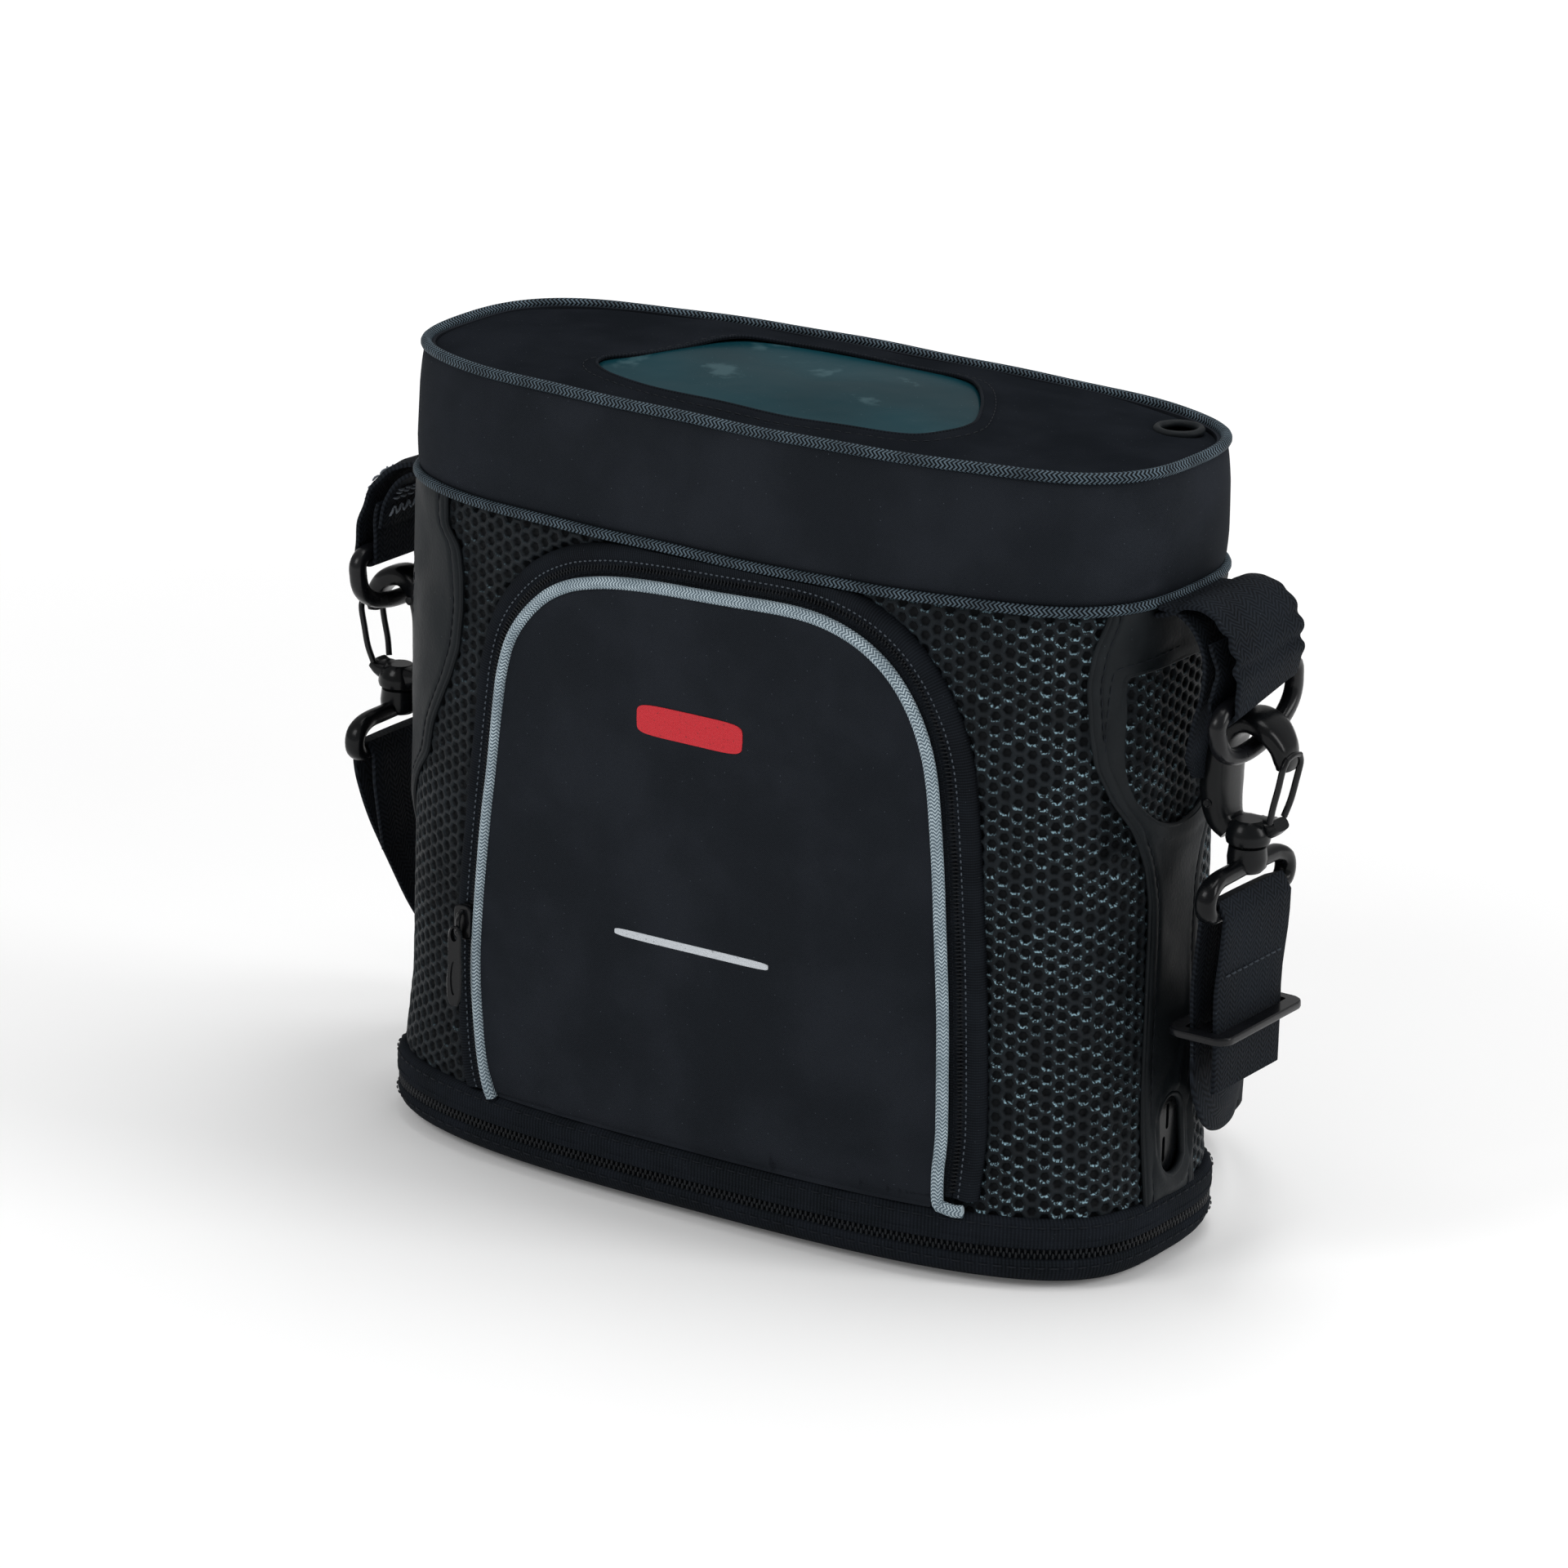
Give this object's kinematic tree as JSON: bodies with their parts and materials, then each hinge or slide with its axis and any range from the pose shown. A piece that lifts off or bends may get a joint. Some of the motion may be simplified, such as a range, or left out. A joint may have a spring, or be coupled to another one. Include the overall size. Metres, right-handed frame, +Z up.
{
  "type": "oxygen concentrator",
  "caption": "Portable oxygen concentrator in its soft carry bag: mesh body, clear top window, zip pocket, unzipping base and clip-on shoulder strap, with the unit's working parts inside.",
  "frame": {"origin": "centre of the flat underside of the bag's base, on the ground", "axes": "+X to the bag's right-hand end seen from the pocket side, +Y to the back, +Z up; the pocket faces -Y"},
  "size_m": [0.3284, 0.1728, 0.2492],
  "materials": {
    "mesh_fabric": "black spacer mesh with rows of small holes",
    "smooth_fabric": "fine smooth near-black cloth",
    "vinyl_trim": "smooth black vinyl, low sheen",
    "binding_tape": "black woven binding tape",
    "dark_piping": "black piping with a herringbone weave",
    "silver_piping": "reflective silver-grey braided piping",
    "window_film": "clear flexible film, dark teal reflections",
    "webbing": "black polyester webbing",
    "pad_fabric": "black padded cloth",
    "black_plastic": "moulded black plastic, semi-gloss",
    "black_metal": "glossy black painted metal",
    "zip_coil": "black nylon coil",
    "case_plastic": "light grey moulded case",
    "panel_plastic": "dark grey moulded plastic",
    "display_glass": "dark glossy display lens",
    "button_rubber": "matt grey rubber",
    "aluminium": "plain drawn and cast aluminium",
    "steel": "turned steel",
    "grey_foam": "dark open-cell foam",
    "circuit_board": "green board"
  },
  "bodies": {
    "base": {"base_panel": "binding_tape"},
    "bag": {"bag_body_shell": "mesh_fabric", "bag_top_band": "smooth_fabric", "bag_top_panel": "smooth_fabric", "top_window": "window_film", "outlet_bound_edge": "binding_tape", "top_piping": "dark_piping", "lower_piping": "dark_piping", "side_trim_left": "vinyl_trim", "side_trim_right": "vinyl_trim", "port_bound_edge": "vinyl_trim", "pocket_zip_tape": "binding_tape", "pocket_zip_coil": "zip_coil", "base_binding": "binding_tape", "base_zip_coil": "zip_coil", "strap_tab_left": "webbing", "strap_tab_right": "webbing", "shoulder_strap_left": "webbing", "shoulder_strap_right": "webbing", "shoulder_pad": "pad_fabric", "front_shell": "case_plastic", "rear_shell": "case_plastic", "control_panel": "panel_plastic", "display_lens": "display_glass", "oxygen_outlet": "black_plastic", "battery_pack": "panel_plastic", "equipment_deck": "aluminium", "compressor_body": "aluminium", "cooling_fan_frame": "black_plastic", "sieve_bed_front": "aluminium", "sieve_bed_rear": "aluminium", "product_tank": "aluminium", "valve_manifold": "aluminium", "main_circuit_board": "circuit_board", "intake_filter": "grey_foam", "dc_inlet_socket": "black_plastic"},
    "pocket_flap": {"pocket_panel": "smooth_fabric", "pocket_piping": "silver_piping"},
    "pocket_slider": {"pocket_zip_slider": "black_metal"},
    "pocket_pull": {"pocket_zip_pull": "black_metal"},
    "base_slider": {"base_zip_slider": "black_metal"},
    "base_pull": {"base_zip_pull": "black_metal"},
    "buckle": {"strap_buckle": "black_metal"},
    "crank": {"compressor_crank": "steel"},
    "fan": {"cooling_fan_rotor": "black_plastic"},
    "ring_left": {"d_ring_left": "black_metal"},
    "eye_left": {"swivel_eye_left": "black_plastic"},
    "hook_left": {"snap_hook_left": "black_plastic"},
    "gate_left": {"hook_gate_left": "black_metal"},
    "ring_right": {"d_ring_right": "black_metal"},
    "eye_right": {"swivel_eye_right": "black_plastic"},
    "hook_right": {"snap_hook_right": "black_plastic"},
    "gate_right": {"hook_gate_right": "black_metal"},
    "power_button": {"power_button": "button_rubber"},
    "mode_button": {"mode_button": "button_rubber"},
    "flow_down_button": {"flow_down_button": "button_rubber"},
    "flow_up_button": {"flow_up_button": "button_rubber"}
  },
  "joints": [
    {"name": "base_hinge", "type": "hinge", "parent": "base", "child": "bag", "pos_m": [0, 0.0628, 0.0112], "axis": [-1, 0, 0], "range_deg": [0, 90]},
    {"name": "pocket_flap_hinge", "type": "hinge", "parent": "bag", "child": "pocket_flap", "pos_m": [0.003, -0.0608, 0.0247], "axis": [1, 0, 0], "range_deg": [0, 90]},
    {"name": "pocket_zip_slide", "type": "slide", "parent": "bag", "child": "pocket_slider", "axis": [0, 0, 1], "range_m": [-0.02, 0.03]},
    {"name": "pocket_pull_hinge", "type": "hinge", "parent": "pocket_slider", "child": "pocket_pull", "pos_m": [-0.0866, -0.06053, 0.074], "axis": [-1, 0, 0], "range_deg": [0, 150]},
    {"name": "base_zip_slide", "type": "slide", "parent": "bag", "child": "base_slider", "axis": [0, 1, 0], "range_m": [-0.02, 0.012]},
    {"name": "base_pull_hinge", "type": "hinge", "parent": "base_slider", "child": "base_pull", "pos_m": [-0.1399, 0.011, 0.0112], "axis": [0, 0, 1], "range_deg": [0, 150]},
    {"name": "buckle_slide", "type": "slide", "parent": "bag", "child": "buckle", "axis": [0, 0, 1], "range_m": [0, 0.01]},
    {"name": "crank_spin", "type": "hinge", "parent": "bag", "child": "crank", "pos_m": [0, -0.004, 0.1], "axis": [1, 0, 0], "continuous": true},
    {"name": "fan_spin", "type": "hinge", "parent": "bag", "child": "fan", "pos_m": [-0.088, -0.004, 0.1], "axis": [1, 0, 0], "continuous": true},
    {"name": "ring_hinge_left", "type": "hinge", "parent": "bag", "child": "ring_left", "pos_m": [-0.153, 0, 0.171], "axis": [0, 1, 0], "range_deg": [-7, 7]},
    {"name": "eye_hinge_left", "type": "hinge", "parent": "bag", "child": "eye_left", "pos_m": [-0.153, 0, 0.1065], "axis": [0, -1, 0], "range_deg": [-2.5, 2.5]},
    {"name": "hook_swivel_left", "type": "hinge", "parent": "eye_left", "child": "hook_left", "pos_m": [-0.153, 0, 0.1235], "axis": [0, 0, 1], "range_deg": [-12, 12]},
    {"name": "gate_hinge_left", "type": "hinge", "parent": "hook_left", "child": "gate_left", "pos_m": [-0.1613, 0, 0.1309], "axis": [0, 1, 0], "range_deg": [0, 25], "stiffness_Nm_per_rad": 0.02, "springref_deg": -11.46},
    {"name": "ring_hinge_right", "type": "hinge", "parent": "bag", "child": "ring_right", "pos_m": [0.153, 0, 0.182], "axis": [0, -1, 0], "range_deg": [-7, 7]},
    {"name": "eye_hinge_right", "type": "hinge", "parent": "bag", "child": "eye_right", "pos_m": [0.153, 0, 0.1175], "axis": [0, 1, 0], "range_deg": [-2.5, 2.5]},
    {"name": "hook_swivel_right", "type": "hinge", "parent": "eye_right", "child": "hook_right", "pos_m": [0.153, 0, 0.1345], "axis": [0, 0, 1], "range_deg": [-12, 12]},
    {"name": "gate_hinge_right", "type": "hinge", "parent": "hook_right", "child": "gate_right", "pos_m": [0.1613, 0, 0.1419], "axis": [0, -1, 0], "range_deg": [0, 25], "stiffness_Nm_per_rad": 0.02, "springref_deg": -11.46},
    {"name": "power_button_press", "type": "slide", "parent": "bag", "child": "power_button", "axis": [0, 0, -1], "range_m": [0, 0.0008], "stiffness_N_per_m": 1500, "springref_m": -0.0003},
    {"name": "mode_button_press", "type": "slide", "parent": "bag", "child": "mode_button", "axis": [0, 0, -1], "range_m": [0, 0.0008], "stiffness_N_per_m": 1500, "springref_m": -0.0003},
    {"name": "flow_down_button_press", "type": "slide", "parent": "bag", "child": "flow_down_button", "axis": [0, 0, -1], "range_m": [0, 0.0008], "stiffness_N_per_m": 1500, "springref_m": -0.0003},
    {"name": "flow_up_button_press", "type": "slide", "parent": "bag", "child": "flow_up_button", "axis": [0, 0, -1], "range_m": [0, 0.0008], "stiffness_N_per_m": 1500, "springref_m": -0.0003}
  ]
}
